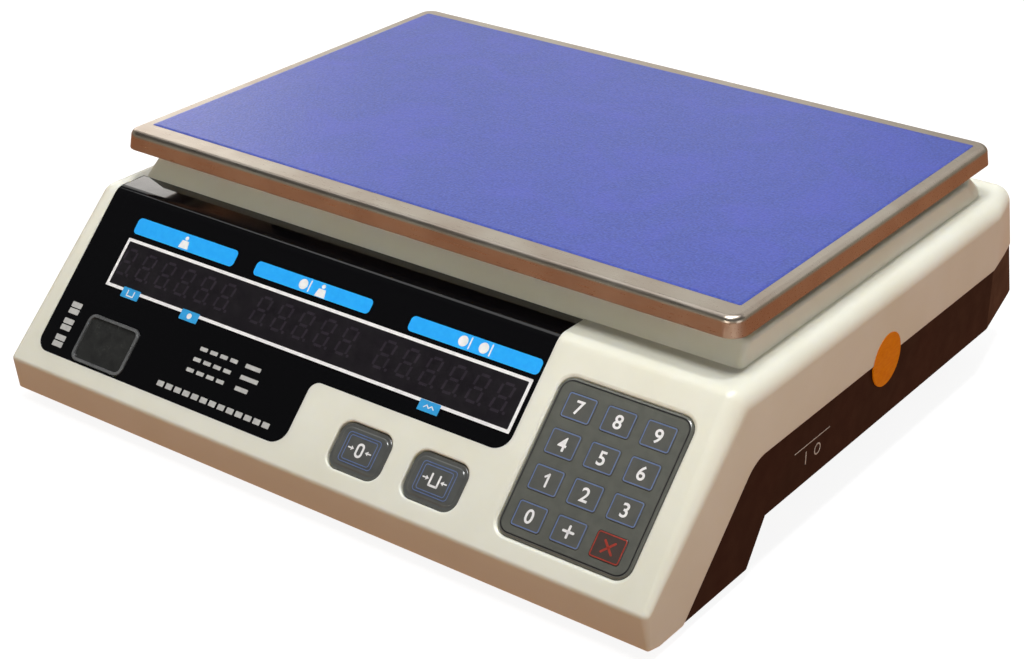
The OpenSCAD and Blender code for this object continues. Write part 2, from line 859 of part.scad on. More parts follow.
battery_low = [-118, 94.6, 14];
battery_high = [-17, 141.6, 84];
module battery() {
    color("#3a3f46") box(battery_low, battery_high);
    color("silver") for (y = [102, 128])
        box([battery_high.x, y, 70], [battery_high.x + 4, y + 5, 76]);
}

module battery_strap() {
    x = -68;
    half = 8;
    t = 1;
    clear = 0.2;
    color("silver") difference() {
        union() {
            box([x - half, battery_low.y - clear - t, battery_low.z],
                [x + half, battery_high.y + clear + t, battery_high.z + clear + t]);
            box([x - half, 82, battery_low.z], [x + half, battery_low.y, battery_low.z + t]);
        }
        box([x - half - cut, battery_low.y - clear, 0],
            [x + half + cut, battery_high.y + clear, battery_high.z + clear]);
    }
}

switch_at = [167, -49.5];
rocker_z = recess_z + 0.5;
rocker_pin_r = 1.2;
rocker_rest = 10;
module switch_housing() {
    flange = 1.5;
    color("#181818") difference() {
        translate([switch_at.x, switch_at.y, 0]) {
            box([-7.6, -10.6, recess_z - flange], [7.6, 10.6, recess_z]);
            box([-6.5, -9.5, recess_z - flange], [6.5, 9.5, recess_z + 18]);
            for (y = [-5, 0, 5]) box([-0.4, y - 2, recess_z + 18], [0.4, y + 2, recess_z + 25]);
        }
        translate([switch_at.x, switch_at.y, 0])
            box([-5.4, -8.5, recess_z - 5], [5.4, 8.5, recess_z + 5.5]);
        translate([switch_at.x, switch_at.y, rocker_z]) rotate([0, 90, 0])
            cylinder(r = rocker_pin_r + fit, h = 12.2, center = true);
    }
}

module switch_rocker() {
    color("firebrick") translate([switch_at.x, switch_at.y, rocker_z])
        rotate([rocker_rest, 0, 0]) {
            along_x([[-7.6, -3.4], [0, -2.4], [7.6, -3.4], [7.6, 2.2], [-7.6, 2.2]], 10.2);
            rotate([0, 90, 0]) cylinder(r = rocker_pin_r, h = 12, center = true);
        }
}

gland_z = 42;
gland_x = 110;
gland_r = 6;
gland_bore = 3.5;
module cord_gland() {
    color("#202020") on_back_wall(gland_z) translate([-gland_x, 0, 0]) difference() {
        union() {
            rod(gland_r, -8, 3);
            rod(8.5, fit, 3);
        }
        rod(gland_bore, -9, 4);
    }
}

sticker_at = [15, 55.4];
sticker_r = 12.8;
module inspection_sticker() {
    face = body_w / 2 + 0.02;
    t = 0.15;
    color("orange") {
        translate([face, sticker_at.x, sticker_at.y]) rotate([0, 90, 0])
            cylinder(r = sticker_r, h = t);
        intersection() {
            translate([face - tray_inset + 0.03, sticker_at.x, sticker_at.y])
                rotate([0, 90, 0]) cylinder(r = sticker_r, h = tray_inset + t - 0.03);
            box([0, -body_d, 0], [body_w, body_d, seam_z - gap - 0.2]);
        }
    }
}

// ---------- nodes ----------

top_cover();
base_tray();
chassis_plate();
load_cell();
cell_base_block();
cell_top_block();
cell_base_screws();
cell_live_screws();
spider_frame();
pan_pads();
weighing_pan();
pan_film();
overload_stops();
chassis_screws();
case_screws();
foot_nuts();
foot_pad(-1, -1);  // foot_pad_front_left
foot_pad(1, -1);  // foot_pad_front_right
foot_pad(-1, 1);  // foot_pad_back_left
foot_pad(1, 1);  // foot_pad_back_right
foot_stud(-1, -1);  // foot_stud_front_left
foot_stud(1, -1);  // foot_stud_front_right
foot_stud(-1, 1);  // foot_stud_back_left
foot_stud(1, 1);  // foot_stud_back_right
display_overlay();
display_board();
weight_digits();
price_digits();
total_digits();
status_lamps();
clear_window();
keypad_panel();
for (row = [0 : 3], column = [0 : 2])
    key(column, row);
keypad_board();
zero_button();
tare_button();
button_board();
rear_window();
rear_display_board();
rear_digits();
main_board();
display_ribbon();
transformer();
battery();
battery_strap();
switch_housing();
switch_rocker();
cord_gland();
inspection_sticker();
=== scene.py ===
"""Looks of the counter scale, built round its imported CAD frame.

Shapes are drawn in millimetres and scaled to metres when a piece is placed. X runs to the user's
right, Y to the back and Z up, with the origin on the table under the middle of the casing.
"""

import json
from math import cos, pi, radians, sin, tan

import bmesh
import bpy
from mathutils import Matrix, Vector


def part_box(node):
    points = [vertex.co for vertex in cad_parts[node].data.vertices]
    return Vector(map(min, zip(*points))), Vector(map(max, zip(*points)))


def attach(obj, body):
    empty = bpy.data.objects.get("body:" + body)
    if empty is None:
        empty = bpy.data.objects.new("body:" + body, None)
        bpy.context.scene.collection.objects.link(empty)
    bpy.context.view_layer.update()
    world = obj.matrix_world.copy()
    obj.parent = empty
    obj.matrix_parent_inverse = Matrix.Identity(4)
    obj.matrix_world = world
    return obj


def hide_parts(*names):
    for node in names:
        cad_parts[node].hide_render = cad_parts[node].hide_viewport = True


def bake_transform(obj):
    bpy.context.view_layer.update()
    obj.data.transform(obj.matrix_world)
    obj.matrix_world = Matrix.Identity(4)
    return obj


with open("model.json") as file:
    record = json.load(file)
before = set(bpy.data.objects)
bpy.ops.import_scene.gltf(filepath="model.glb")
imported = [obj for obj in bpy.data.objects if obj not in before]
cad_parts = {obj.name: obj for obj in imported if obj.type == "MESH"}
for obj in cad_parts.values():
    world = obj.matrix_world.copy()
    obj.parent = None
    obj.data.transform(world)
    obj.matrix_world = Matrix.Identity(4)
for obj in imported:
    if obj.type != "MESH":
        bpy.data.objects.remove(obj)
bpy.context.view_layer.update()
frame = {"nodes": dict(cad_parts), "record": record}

MM = 0.001


def box_mm(node):
    """Lowest and highest corner of a CAD node, in millimetres."""
    return [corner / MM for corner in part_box(node)]


# ---------- sizes of the casing, in millimetres ----------

cover_low, cover_high = box_mm("top_cover")
body_w = 2 * cover_high.x
front_y = -177.5                     # the lip, where the control slope starts
deck_z = 92
lip_z = 23.5
floor_z = cover_low.z
slope_tilt = radians(45.6)
back_lean = radians(21.8)
side_taper = radians(10.3)           # inward turn of the side walls behind the fold
fold_y = 126
wall = 2.6
seam_z = 57
seam_radius = 19
band_w = 33                          # cover's band beside the slope, square to the slope
recess_z = 25                        # roof of the hand recesses
lip_set_back = 3.2
foot_rise = 2
foot_run = 8
step_front_y, step_back_y = -93, 146
step_half_w = 169
step_h = cover_high.z - deck_z
step_runs = (8.5, 2, 10)             # lean of the step's front, side and back faces
step_front_r, step_back_r = 3, 24

deck_front_y = front_y + (deck_z - lip_z) / tan(slope_tilt)


def back_wall_y(z):
    """Outer face of the leaning back wall at height z."""
    return -front_y + (recess_z - z) * tan(back_lean)


def half_width(y):
    """Half the casing's width at depth y."""
    return body_w / 2 - max(0, y - fold_y) * tan(side_taper)


def seam_y(z):
    """Front edge of the space under the cover's band, at height z."""
    return front_y + ((z - lip_z) * cos(slope_tilt) + band_w) / sin(slope_tilt)


# Outline of the casing seen from the right, as (y, z, corner radius).
SIDE_CORNERS = (
    (front_y + lip_set_back, floor_z + foot_rise, 1.5),
    (front_y + lip_set_back + foot_run, floor_z, 1.5),
    (fold_y, floor_z, 1.5),
    (back_wall_y(floor_z), floor_z, 3),
    (back_wall_y(deck_z), deck_z, 9),
    (fold_y, deck_z, 9),
    (deck_front_y, deck_z, 9),
    (front_y, lip_z, 3),
)

# Frames that pieces are drawn in: their local X and Y lie in the surface, and Z comes out of it.
LEVEL = Matrix.Identity(4)
SLOPE = Matrix.Translation((0, front_y, lip_z)) @ Matrix.Rotation(slope_tilt, 4, "X")
ALONG_X = Matrix(((0, 0, 1, 0), (1, 0, 0, 0), (0, 1, 0, 0), (0, 0, 0, 1)))  # drawn in Y and Z
UPRIGHT = Matrix.Rotation(pi / 2, 4, "X")     # drawn in X and Z, thick towards -Y


def on_back_wall(z):
    """Frame on the back wall at height z, as the customer sees it."""
    turn = Matrix.Rotation(pi, 4, "Z") @ Matrix.Rotation(pi / 2, 4, "X")
    return Matrix.Translation((0, back_wall_y(z), z)) @ Matrix.Rotation(back_lean, 4, "X") @ turn


# ---------- outlines ----------

CORNER_SIGNS = ((-1, -1), (1, -1), (1, 1), (-1, 1))


def rounded(points, radii, steps=8):
    """A closed outline whose corners are arcs. Every corner gives steps + 1 points."""
    result = []
    for i, radius in enumerate(radii):
        before, corner, after = (Vector(points[(i + k) % len(points)]) for k in (-1, 0, 1))
        to_before = (before - corner).normalized()
        to_after = (after - corner).normalized()
        half = to_before.angle(to_after) / 2
        centre = corner + (to_before + to_after).normalized() * radius / sin(half)
        start = corner + to_before * radius / tan(half) - centre
        end = corner + to_after * radius / tan(half) - centre
        turn = start.angle_signed(end)
        for step in range(steps + 1):
            spoke = start.copy()
            spoke.rotate(Matrix.Rotation(-turn * step / steps, 2))
            result.append(centre + spoke)
    return result


def rectangle(width, height, radius=0.4, middle=(0, 0), steps=8):
    x, y = middle
    corners = [(x + sx * width / 2, y + sy * height / 2) for sx, sy in CORNER_SIGNS]
    return rounded(corners, [radius] * 4, steps)


def grown(size, gap):
    """A size (width, height, corner radius) with a gap all round. A negative gap shrinks it."""
    width, height, radius = size
    return width + 2 * gap, height + 2 * gap, max(radius + gap, 0.2)


def disc(radius, middle=(0, 0), steps=40):
    return [Vector((middle[0] + radius * cos(a), middle[1] + radius * sin(a)))
            for a in (2 * pi * i / steps for i in range(steps))]


def stroke(start, end, width):
    """A straight stroke with round ends."""
    start, end = Vector(start), Vector(end)
    along = (end - start).normalized() * width / 2
    result = []
    for centre, first in ((end, -90), (start, 90)):
        for step in range(9):
            spoke = along.copy()
            spoke.rotate(Matrix.Rotation(radians(first + step * 22.5), 2))
            result.append(centre + spoke)
    return result


# ---------- solids ----------

def loft(rings, place=LEVEL, capped=True):
    """A closed solid through rings of equal length: capped, or with the last joined to the first."""
    bm = bmesh.new()
    rows = [[bm.verts.new(place @ Vector(p)) for p in ring] for ring in rings]
    count = len(rows[0])
    for low, high in zip(rows, rows[1:] if capped else rows[1:] + rows[:1]):
        for i in range(count):
            k = (i + 1) % count
            bm.faces.new((low[i], low[k], high[k], high[i]))
    if capped:
        bm.faces.new(rows[0][::-1])
        bm.faces.new(rows[-1])
    return bm


def level_ring(outline, z):
    return [(p[0], p[1], z) for p in outline]


def prism(outline, low, high, place=LEVEL):
    return loft([level_ring(outline, low), level_ring(outline, high)], place)


def brick(low, high):
    corners = [(low[0], low[1]), (high[0], low[1]), (high[0], high[1]), (low[0], high[1])]
    return prism(corners, low[2], high[2])


def tube(outer, inner, low, high, place=LEVEL):
    """A closed wall between two outlines of equal length."""
    rings = [level_ring(outer, low), level_ring(outer, high), level_ring(inner, high),
             level_ring(inner, low)]
    return loft(rings, place, capped=False)


def quarter(steps):
    """A quarter round of radius 1 from its side to its top, as (way inward, depth below top)."""
    return [(1 - cos(a), 1 - sin(a)) for a in (pi / 2 * step / steps for step in range(steps + 1))]


def pad(size, low, high, edge, crown=0, middle=(0, 0)):
    """A plate with a round upper edge and, if crown is given, a domed top."""
    def ring(inset, z):
        return level_ring(rectangle(*grown(size, -inset), middle), z)

    edge_steps, crown_steps, top_half_w = 5, 9, 0.5
    rings = [ring(0, low)]
    rings += [ring(edge * inward, high - crown - edge * below)
              for inward, below in quarter(edge_steps)]
    for step in range(1, crown_steps if crown else 1):
        share = step / crown_steps
        inset = edge + share * (min(size[:2]) / 2 - edge - top_half_w)
        rings.append(ring(inset, high - crown * (1 - share) ** 2))
    return loft(rings)


def join(*parts):
    """Puts separate solids into one mesh."""
    bm = parts[0]
    for part in parts[1:]:
        mesh = bpy.data.meshes.new("part")
        part.to_mesh(mesh)
        part.free()
        bm.from_mesh(mesh)
        bpy.data.meshes.remove(mesh)
    return bm


def add_object(name, data):
    obj = bpy.data.objects.new(name, data)
    bpy.context.collection.objects.link(obj)
    return obj


def mesh_object(name, bm):
    mesh = bpy.data.meshes.new(name)
    bm.to_mesh(mesh)
    bm.free()
    return add_object(name, mesh)


def scratch_object(bm):
    bmesh.ops.recalc_face_normals(bm, faces=bm.faces)
    return mesh_object("scratch", bm)


def combine(first, second, operation):
    """Boolean of two closed solids: UNION, DIFFERENCE or INTERSECT."""
    target, tool = scratch_object(first), scratch_object(second)
    modifier = target.modifiers.new("boolean", "BOOLEAN")
    modifier.operation = operation
    modifier.solver = "EXACT"
    modifier.object = tool
    shape = target.evaluated_get(bpy.context.evaluated_depsgraph_get())
    bm = bmesh.new()
    bm.from_mesh(shape.to_mesh())
    for obj in (target, tool):
        mesh = obj.data
        bpy.data.objects.remove(obj)
        bpy.data.meshes.remove(mesh)
    return bm


def cut(first, *tools):
    for tool in tools:
        first = combine(first, tool, "DIFFERENCE")
    return first


# ---------- placing pieces ----------

MATERIALS = {}


def place_piece(name, bm, finish, body="casing", place=LEVEL, hides=(), smooth=32, slot=None):
    """Turns a solid into a piece with the given finish that rides on a body.

    Edges up to the angle smooth, in degrees, are shaded round. A piece placed with no body rides on
    none.
    """
    bmesh.ops.recalc_face_normals(bm, faces=bm.faces)
    bm.transform(Matrix.Scale(MM, 4) @ place)
    obj = mesh_object(name, bm)
    obj.data.shade_smooth()
    obj.data.set_sharp_from_angle(angle=radians(smooth))
    obj.data.materials.append(MATERIALS[finish])
    modifier = obj.modifiers.new("even_normals", "WEIGHTED_NORMAL")
    modifier.keep_sharp = True
    if body:
        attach(obj, body)
    if hides:
        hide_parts(*hides)
    return obj


# ---------- materials ----------

def display_colour(red, green, blue):
    """Linear colour of a display colour given from 0 to 255."""
    return tuple(((c / 255 + 0.055) / 1.055) ** 2.4 if c > 10 else c / 255 / 12.92
                 for c in (red, green, blue)) + (1,)


class Nodes:
    """Short calls that build a node tree."""

    def __init__(self, tree):
        self.tree = tree

    def node(self, kind, **settings):
        node = self.tree.nodes.new(kind)
        for name, value in settings.items():
            setattr(node, name, value)
        return node

    def link(self, source, node, socket):
        self.tree.links.new(source, node.inputs[socket])

    def ramp(self, value, *stops):
        """Colours or numbers along a value, as (position, colour or number)."""
        node = self.node("ShaderNodeValToRGB")
        while len(node.color_ramp.elements) < len(stops):
            node.color_ramp.elements.new(0.5)
        for element, (position, tone) in zip(node.color_ramp.elements, stops):
            element.position = position
            element.color = (*tone, 1) if isinstance(tone, tuple) else (tone, tone, tone, 1)
        self.link(value, node, "Fac")
        return node.outputs["Color"]


class Shader(Nodes):
    """A principled material with the procedural nodes behind its sockets.

    Colours are given as display colours from 0 to 255.
    """

    def __init__(self, name, **sockets):
        self.material = bpy.data.materials.new(name)
        self.material.use_nodes = True
        super().__init__(self.material.node_tree)
        self.bsdf = self.tree.nodes["Principled BSDF"]
        self.place = self.node("ShaderNodeTexCoord").outputs["Object"]
        self.normal = None
        for socket, value in sockets.items():
            self.bsdf.inputs[socket.replace("_", " ")].default_value = value

    def stretched(self, factors):
        """Object coordinates scaled by factors, to draw out a texture."""
        mapping = self.node("ShaderNodeMapping")
        mapping.inputs["Scale"].default_value = factors
        self.link(self.place, mapping, "Vector")
        return mapping.outputs["Vector"]

    def noise(self, size_mm, detail=3, stretch=None, distortion=0):
        """Noise from 0 to 1 whose blotches are about size_mm across."""
        node = self.node("ShaderNodeTexNoise")
        node.inputs["Scale"].default_value = 1 / (size_mm * MM)
        node.inputs["Detail"].default_value = detail
        node.inputs["Distortion"].default_value = distortion
        self.link(self.stretched(stretch) if stretch else self.place, node, "Vector")
        return node.outputs["Fac"]

    def mix(self, share, first, second):
        """Goes from first to second with the share. Each is a node's output or a colour."""
        node = self.node("ShaderNodeMix", data_type="RGBA")
        share_socket, first_socket, second_socket, mixed_output = 0, 6, 7, 2
        self.link(share, node, share_socket)
        for socket, colour in ((first_socket, first), (second_socket, second)):
            if isinstance(colour, tuple):
                node.inputs[socket].default_value = display_colour(*colour)
            else:
                self.link(colour, node, socket)
        return node.outputs[mixed_output]

    def colour(self, source):
        self.link(source, self.bsdf, "Base Color")

    def two_tones(self, pattern, low, high, first, second):
        """Base colour: first where the pattern is below low, second where it is above high."""
        self.colour(self.mix(self.ramp(pattern, (low, 0.0), (high, 1.0)), first, second))

    def roughness(self, pattern, *stops):
        self.link(self.ramp(pattern, *stops), self.bsdf, "Roughness")

    def bump(self, height, depth_mm):
        """Relief from a height map; several calls lie on top of each other."""
        node = self.node("ShaderNodeBump")
        node.inputs["Distance"].default_value = depth_mm * MM
        node.inputs["Strength"].default_value = 1.0
        self.link(height, node, "Height")
        if self.normal:
            self.link(self.normal, node, "Normal")
        self.normal = node.outputs["Normal"]
        self.link(self.normal, self.bsdf, "Normal")


def moulded_plastic(name, colour, worn, rough=0.38, grain_mm=0.5, grain_depth=0.012, gloss=0.5,
                    glow_mm=0.0):
    """Plastic with a fine moulded grain, faint flow marks and slightly uneven gloss.

    Light that enters comes out again up to about glow_mm away, which softens the shadows.
    """
    shader = Shader(name, Specular_IOR_Level=gloss)
    if glow_mm:
        shader.bsdf.inputs["Subsurface Weight"].default_value = 0.6
        shader.bsdf.inputs["Subsurface Radius"].default_value = (1, 0.95, 0.8)
        shader.bsdf.inputs["Subsurface Scale"].default_value = glow_mm * MM
    shader.two_tones(shader.noise(38, detail=4), 0.35, 0.7, colour, worn)
    shader.roughness(shader.noise(9, detail=5), (0.3, rough - 0.04), (0.75, rough + 0.07))
    shader.bump(shader.noise(grain_mm, detail=2), grain_depth)
    shader.bump(shader.noise(22, detail=2), 0.05)
    return shader.material


def metal(name, colour, worn, rough, brushed=(1, 1, 1), line_mm=0.6, depth_mm=0.004,
          wave_mm=0.0):
    """Metal with brushing lines, cloudy tarnish and an uneven polish; wave_mm dents it softly."""
    shader = Shader(name, Metallic=1.0)
    shader.two_tones(shader.noise(26, detail=5, distortion=0.4), 0.35, 0.72, colour, worn)
    lines = shader.noise(line_mm, detail=3, stretch=brushed)
    shader.roughness(lines, (0.25, rough - 0.05), (0.8, rough + 0.08))
    shader.bump(lines, depth_mm)
    if wave_mm:
        shader.bump(shader.noise(11, detail=2), wave_mm)
    return shader.material


def blue_film():
    """Protective film with a fine mottled grain and faint cloudy swirls."""
    shader = Shader("blue_film", Specular_IOR_Level=0.6)
    specks = shader.noise(1.1, detail=3)
    base = shader.mix(shader.ramp(specks, (0.32, 0.0), (0.7, 1.0)), (18, 42, 134), (56, 79, 174))
    swirls = shader.ramp(shader.noise(42, detail=3, distortion=1.6), (0.45, 0.0), (0.8, 0.45))
    shader.colour(shader.mix(swirls, base, (60, 66, 182)))
    shader.roughness(shader.noise(2.2, detail=4), (0.3, 0.3), (0.8, 0.4))
    shader.bump(specks, 0.13)
    shader.bump(shader.noise(14, detail=2), 0.12)
    return shader.material


def overlay_film():
    """Glossy black film: deep, with a very slight orange peel and a few dust specks."""
    shader = Shader("overlay_film", Specular_IOR_Level=0.4, Coat_Weight=0.3,
                    Coat_Roughness=0.03)
    shader.two_tones(shader.noise(0.9, detail=2), 0.77, 0.82, (7, 7, 9), (30, 29, 32))
    shader.roughness(shader.noise(17, detail=4), (0.3, 0.06), (0.8, 0.11))
    shader.bump(shader.noise(7, detail=2), 0.02)
    return shader.material


def printed_ink(name, colour, second):
    """Screen-printed ink: a slightly uneven film of colour."""
    shader = Shader(name, Specular_IOR_Level=0.45)
    shader.two_tones(shader.noise(2.5, detail=4), 0.35, 0.75, colour, second)
    shader.roughness(shader.noise(6, detail=2), (0.3, 0.3), (0.8, 0.42))
    shader.bump(shader.noise(0.4, detail=2), 0.003)
    return shader.material


def glossy_panel(name, colour, second, rough=0.16):
    """Clear-coated printed polyester with a faint dimpled surface."""
    shader = Shader(name, Specular_IOR_Level=0.5, Coat_Weight=0.6, Coat_Roughness=0.03)
    shader.two_tones(shader.noise(5, detail=3), 0.35, 0.75, colour, second)
    shader.roughness(shader.noise(11, detail=4), (0.3, rough), (0.8, rough + 0.1))
    shader.bump(shader.noise(3.5, detail=2), 0.03)
    return shader.material


def clear_plastic():
    """Clear plastic with a grey haze."""
    shader = Shader("clear_plastic", Specular_IOR_Level=0.6, IOR=1.49, Transmission_Weight=0.55)
    haze = shader.noise(16, detail=4)
    shader.two_tones(haze, 0.3, 0.8, (120, 122, 124), (160, 162, 163))
    shader.roughness(haze, (0.3, 0.08), (0.8, 0.2))
    shader.bump(shader.noise(9, detail=2), 0.01)
    return shader.material


def circuit_board():
    """Solder resist over copper: tracks show as fine raised lines."""
    shader = Shader("circuit_board", Specular_IOR_Level=0.5)
    tracks = shader.ramp(shader.noise(4, detail=1, stretch=(1, 0.15, 1)), (0.48, 0.0), (0.52, 1.0))
    shader.colour(shader.mix(tracks, (24, 92, 52), (34, 118, 66)))
    shader.roughness(shader.noise(9, detail=3), (0.3, 0.25), (0.8, 0.38))
    shader.bump(tracks, 0.03)
    return shader.material


def transformer_core():
    """Varnished laminations, seen as thin stacked lines."""
    shader = Shader("transformer_core", Specular_IOR_Level=0.5)
    sheets = shader.noise(2, detail=2, stretch=(0.05, 1.6, 0.05))
    shader.two_tones(sheets, 0.42, 0.58, (92, 76, 48), (150, 124, 74))
    shader.roughness(shader.noise(7, detail=3), (0.3, 0.35), (0.8, 0.5))
    shader.bump(sheets, 0.08)
    return shader.material


def sticker_orange():
    """Dull orange paper seal with faint fibres."""
    shader = Shader("sticker_orange", Specular_IOR_Level=0.1)
    fibres = shader.noise(1.5, detail=5, stretch=(1, 0.4, 1.6))
    shader.two_tones(fibres, 0.3, 0.75, (224, 124, 0), (236, 146, 2))
    shader.roughness(shader.noise(6, detail=3), (0.3, 0.34), (0.8, 0.5))
    shader.bump(fibres, 0.012)
    return shader.material


# Settings of the plastics and metals. All colours here are display colours.
PLASTICS = {
    "ivory_plastic": dict(colour=(231, 231, 219), worn=(226, 225, 210), rough=0.32, glow_mm=3),
    "dark_plastic": dict(colour=(40, 9, 8), worn=(33, 8, 7), rough=0.45, grain_mm=0.8,
                         grain_depth=0.03, gloss=0.12),
    "black_plastic": dict(colour=(34, 33, 33), worn=(26, 25, 26), rough=0.45),
    "rubber": dict(colour=(36, 36, 36), worn=(30, 29, 28), rough=0.72, grain_mm=1.2,
                   grain_depth=0.04, gloss=0.3),
}
METALS = {
    "pan_steel": dict(colour=(182, 173, 161), worn=(169, 155, 142), rough=0.3,
                      brushed=(0.05, 1, 1), depth_mm=0.0015, wave_mm=0.07),
    "zinc_steel": dict(colour=(196, 200, 200), worn=(176, 178, 170), rough=0.34),
    "fastener_steel": dict(colour=(205, 205, 203), worn=(180, 178, 172), rough=0.28,
                           line_mm=0.3),
    "machined_aluminium": dict(colour=(214, 216, 219), worn=(200, 203, 206), rough=0.3,
                               brushed=(1, 0.06, 1)),
    "cast_aluminium": dict(colour=(176, 180, 185), worn=(160, 163, 168), rough=0.48,
                           line_mm=0.9, depth_mm=0.05),
    "stop_brass": dict(colour=(214, 178, 104), worn=(180, 140, 74), rough=0.3),
}
# Inks and coated panels in two close tones.
INKS = {
    "white_ink": ((240, 240, 240), (222, 222, 224)),
    "grey_ink": ((190, 191, 188), (172, 173, 172)),
    "blue_ink": ((34, 164, 248), (44, 174, 252)),
    "tag_ink": ((46, 152, 216), (56, 164, 226)),
    "outline_ink": ((96, 116, 158), (86, 104, 144)),
    "red_ink": ((164, 58, 44), (144, 50, 40)),
    "unlit_ink": ((44, 38, 47), (36, 32, 40)),
    "rear_unlit_ink": ((80, 70, 76), (68, 60, 66)),
    # The window ink is the display window's own dark tint and also the keypad's painted groove
    # shade.
    "window_tint_and_groove_shade_ink": ((22, 18, 24), (18, 15, 20)),
}
PANELS = {
    "keypad_grey": ((96, 98, 92), (88, 90, 85)),
    "key_grey": ((92, 93, 89), (84, 86, 83)),
    "key_red": ((78, 66, 62), (70, 60, 57)),
    "button_grey": ((86, 88, 86), (78, 80, 79)),
    "smoked_window": ((24, 16, 20), (18, 12, 16)),
    "window_pane": ((46, 47, 46), (34, 34, 34)),
    "digit_block": ((28, 27, 31), (22, 21, 25)),
    "lamp": ((120, 22, 18), (96, 18, 16)),
    "rocker_red": ((168, 26, 20), (150, 22, 18)),
    "battery_case": ((58, 62, 68), (50, 54, 60)),
    "ribbon_grey": ((150, 152, 154), (136, 138, 141)),
}

for name, settings in PLASTICS.items():
    MATERIALS[name] = moulded_plastic(name, **settings)
for name, settings in METALS.items():
    MATERIALS[name] = metal(name, **settings)
for make in (blue_film, overlay_film, clear_plastic, circuit_board, transformer_core,
             sticker_orange):
    MATERIALS[make.__name__] = make()
for name, tones in INKS.items():
    MATERIALS[name] = printed_ink(name, *tones)
for name, tones in PANELS.items():
    MATERIALS[name] = glossy_panel(name, *tones)


# ---------- casing ----------

def casing(t):
    """The casing's rounded outer form, moved inward by t: the hull of a ball at each corner.

    Only the part of each ball that shows is made: it is swept from one wall's normal to the
    next, and from the middle plane out to the side.
    """
    smallest_r = 0.6
    turn_steps = 10
    tilts = [radians(7.5 * k) for k in range(13)]
    outline = [Vector((y, z)) for y, z, _ in SIDE_CORNERS]
    count = len(outline)
    bm = bmesh.new()
    for i, (y, z, corner_r) in enumerate(SIDE_CORNERS):
        radius = max(corner_r - t, smallest_r)
        before = (outline[i] - outline[i - 1]).normalized()
        after = (outline[(i + 1) % count] - outline[i]).normalized()
        inward = before.orthogonal() + after.orthogonal()
        centre = outline[i] + inward * (radius + t) / (1 + before.dot(after))
        x = half_width(y) - t - radius
        for step in range(turn_steps + 1):
            outward = (-before.orthogonal()).slerp(-after.orthogonal(), step / turn_steps)
            for tilt in tilts:
                rim = centre + outward * radius * cos(tilt)
                reach = x + radius * sin(tilt)
                for side in (-1, 1):
                    bm.verts.new((side * reach, rim.x, rim.y))
    bmesh.ops.remove_doubles(bm, verts=bm.verts, dist=0.001)
    bmesh.ops.convex_hull(bm, input=bm.verts)
    inner = [v for v in bm.verts if not v.link_faces]
    bmesh.ops.delete(bm, geom=inner, context="VERTS")
    bmesh.ops.dissolve_limit(bm, angle_limit=radians(0.05), verts=bm.verts, edges=bm.edges)
    return bm


def under_seam():
    """Space under the cover's lower edge, behind the slanted band."""
    low, far, sharp = -10, 400, 0.1
    outline = rounded([(seam_y(low), low), (far, low), (far, seam_z), (seam_y(seam_z), seam_z)],
                      [sharp, sharp, sharp, seam_radius])
    return prism(outline, -body_w, body_w, ALONG_X)


def step_ring(rise, inset, z):
    """Outline at height z of the raised step, where it has climbed the share rise."""
    front, side, back = (run * rise + inset for run in step_runs)
    x = step_half_w - side
    corners = [(-x, step_front_y + front), (x, step_front_y + front),
               (x, step_back_y - back), (-x, step_back_y - back)]
    radii = [step_front_r, step_front_r, step_back_r, step_back_r]
    return level_ring(rounded(corners, radii, 10), z)


def step_form(t):
    """The step under the pan with a softly rounded top edge; t moves its faces inward."""
    root, edge, edge_steps = 4, 1.6, 4
    top = deck_z + step_h - t
    rings = [step_ring(0, t, deck_z - root - 2 * t), step_ring(0, t, deck_z)]
    rings += [step_ring(1 - below * edge / step_h, t + edge * inward, top - edge * below)
              for inward, below in quarter(edge_steps)]
    return loft(rings)


# ---------- places and sizes on the slope, as (x, up the slope), and on the back wall ----------

# The overlay leaves its lower right corner to the buttons. Its upper edge lies past the bend.
OVERLAY = rounded([(-169.6, 8.9), (-12.5, 8.9), (-12.5, 41), (92.4, 41), (92.4, 115),
                   (-169.6, 115)], [7, 8, 5, 8, 1, 1])
overlay_sunk, overlay_t = 0.2, 0.8
overlay_reach = (-25, 5)             # how far the overlay's cutters go below and above the slope
keypad_at = (134.5, 45.2)
keypad_size = (65, 71.2, 6.7)        # width, height up the slope and corner radius
window_at = (-130.5, 22)
window_size = (33, 24, 4)
button_s = 19.8                      # how far up the slope both buttons are
BUTTONS = {"zero_button": 25.9, "tare_button": 66.8}
button_size = (28.6, 21.6, 6)
rear_z = 70                          # middle of the customer's display
rear_size = (236, 19, 2.5)


def pocket(size, middle, depth, rim, place=SLOPE):
    """Cutter for a sunk seat with a wide rounded rim. The rim's depth is 0.6 of its width."""
    rim_depth, rim_steps, above = rim * 0.6, 4, 2

    def ring(gap, z):
        return level_ring(rectangle(*grown(size, gap), middle), z)

    rings = [ring(0, -depth)]
    for step in range(rim_steps + 1):
        share = step / rim_steps
        rings.append(ring(rim * (1 - cos(pi / 2 * share)), rim_depth * (share - 1)))
    rings.append(ring(rim, above))
    return loft(rings, place)


def behind_step_front(gap):
    """Space from a gap before the step's front to the back: the overlay ends there."""
    far_y, high_z = 400, 200
    return brick((-body_w, step_front_y - gap, 0), (body_w, far_y, high_z))


